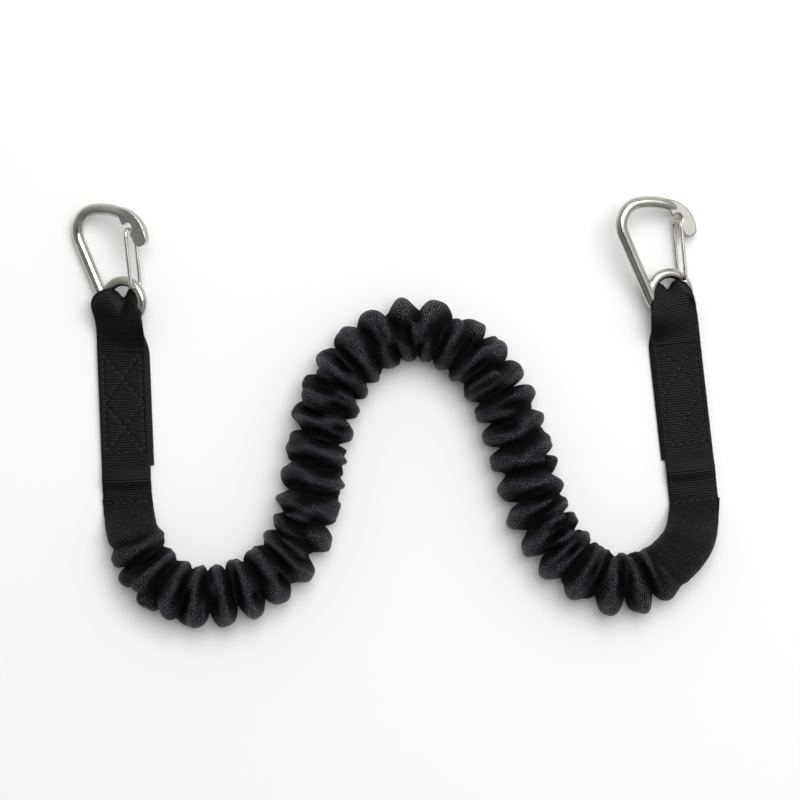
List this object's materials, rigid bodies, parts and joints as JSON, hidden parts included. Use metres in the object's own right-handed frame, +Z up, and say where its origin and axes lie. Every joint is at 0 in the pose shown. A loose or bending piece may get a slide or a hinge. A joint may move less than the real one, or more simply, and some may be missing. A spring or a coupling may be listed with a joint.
{
  "type": "shock absorbing lanyard",
  "caption": "Stretch lanyard: a gathered fabric sleeve over a shock cord, sewn to flat webbing ends that each hold a small wire-gate carabiner.",
  "frame": {"origin": "on the surface that the lanyard lies on, under the middle of its box", "axes": "+Z up from the surface, +X from the left strap to the right strap, +Y from the sleeve towards the carabiners"},
  "size_m": [0.3328, 0.2153, 0.024],
  "materials": {
    "sleeve_fabric": "woven nylon tube, gathered, soft sheen",
    "strap_webbing": "ribbed black webbing",
    "thread": "bonded nylon thread",
    "forged_steel": "tumbled and polished stainless steel",
    "gate_wire": "drawn stainless spring wire",
    "core_rubber": "natural latex strands",
    "core_cover": "braided polyester"
  },
  "bodies": {
    "lanyard": {"sleeve": "sleeve_fabric", "end_strap_left": "strap_webbing", "end_strap_right": "strap_webbing", "shock_cord_rubber": "core_rubber", "shock_cord_cover": "core_cover", "core_binding_left": "thread", "core_binding_right": "thread", "box_stitching_left": "thread", "box_stitching_right": "thread", "sleeve_seam_left": "thread", "sleeve_seam_right": "thread"},
    "carabiner_left": {"carabiner_body_left": "forged_steel"},
    "gate_left": {"wire_gate_left": "gate_wire"},
    "carabiner_right": {"carabiner_body_right": "forged_steel"},
    "gate_right": {"wire_gate_right": "gate_wire"}
  },
  "joints": [
    {"name": "carabiner_left_swing", "type": "hinge", "parent": "lanyard", "child": "carabiner_left", "pos_m": [-0.13915, 0.04399, 0.0069], "axis": [0.9992, 0.0401, 0], "range_deg": [0, 105]},
    {"name": "gate_left_hinge", "type": "hinge", "parent": "carabiner_left", "child": "gate_left", "pos_m": [-0.13279, 0.06144, 0.01256], "axis": [-0.4067, -0.1445, 0.902], "range_deg": [0, 32], "stiffness_Nm_per_rad": 0.03, "springref_deg": -17.19},
    {"name": "carabiner_right_swing", "type": "hinge", "parent": "lanyard", "child": "carabiner_right", "pos_m": [0.13941, 0.04791, 0.0069], "axis": [0.9936, 0.1132, 0], "range_deg": [0, 105]},
    {"name": "gate_right_hinge", "type": "hinge", "parent": "carabiner_right", "child": "gate_right", "pos_m": [0.14603, 0.06614, 0.00586], "axis": [0.309, -0.0581, 0.9493], "range_deg": [0, 32], "stiffness_Nm_per_rad": 0.03, "springref_deg": -17.19}
  ]
}
